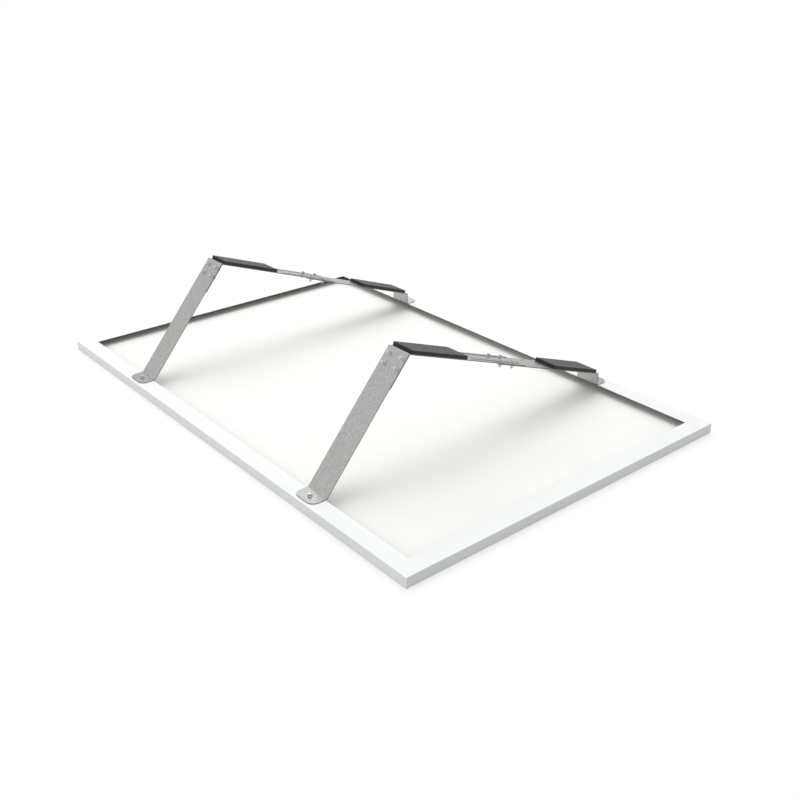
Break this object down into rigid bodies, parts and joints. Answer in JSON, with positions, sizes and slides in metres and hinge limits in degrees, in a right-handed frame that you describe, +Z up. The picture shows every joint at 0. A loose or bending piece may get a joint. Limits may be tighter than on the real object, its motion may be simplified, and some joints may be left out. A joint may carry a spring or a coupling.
{
  "type": "solar ballast mount",
  "caption": "Bent steel ballast mount frames with rubber roof pads, bolted to the rear flanges of a framed solar module lying face down.",
  "frame": {"origin": "under the middle of the module, on the plane that its front lips lie on", "axes": "+X across the module from the long legs to the short legs, +Y along the module, +Z up, which is away from the module's front"},
  "size_m": [1.134, 1.722, 0.3543],
  "materials": {
    "rail_aluminium": "pale anodised, satin",
    "key_aluminium": "sawn extrusion",
    "solar_glass": "smooth solar glass",
    "solar_cells": "dark cells in clear encapsulant",
    "backsheet_film": "white film, satin",
    "galvanised_steel": "hot-dip galvanised, dull with fine spangle",
    "zinc_fasteners": "zinc plated, satin",
    "pad_rubber": "matt, fine granules"
  },
  "bodies": {
    "root": {"high_side_rail": "rail_aluminium", "low_side_rail": "rail_aluminium", "front_end_rail": "rail_aluminium", "rear_end_rail": "rail_aluminium", "front_high_corner_key": "key_aluminium", "front_low_corner_key": "key_aluminium", "rear_high_corner_key": "key_aluminium", "rear_low_corner_key": "key_aluminium", "front_glass": "solar_glass", "cell_layer": "solar_cells", "backsheet": "backsheet_film", "front_long_leg": "galvanised_steel", "front_upper_bar": "galvanised_steel", "front_lower_bar": "galvanised_steel", "front_high_pad": "pad_rubber", "front_low_pad": "pad_rubber", "front_leg_bolts": "zinc_fasteners", "front_leg_nuts": "zinc_fasteners", "front_splice_bolts": "zinc_fasteners", "front_splice_nuts": "zinc_fasteners", "front_foot_bolts": "zinc_fasteners", "front_foot_nuts": "zinc_fasteners", "rear_long_leg": "galvanised_steel", "rear_upper_bar": "galvanised_steel", "rear_lower_bar": "galvanised_steel", "rear_high_pad": "pad_rubber", "rear_low_pad": "pad_rubber", "rear_leg_bolts": "zinc_fasteners", "rear_leg_nuts": "zinc_fasteners", "rear_splice_bolts": "zinc_fasteners", "rear_splice_nuts": "zinc_fasteners", "rear_foot_bolts": "zinc_fasteners", "rear_foot_nuts": "zinc_fasteners"}
  },
  "joints": []
}
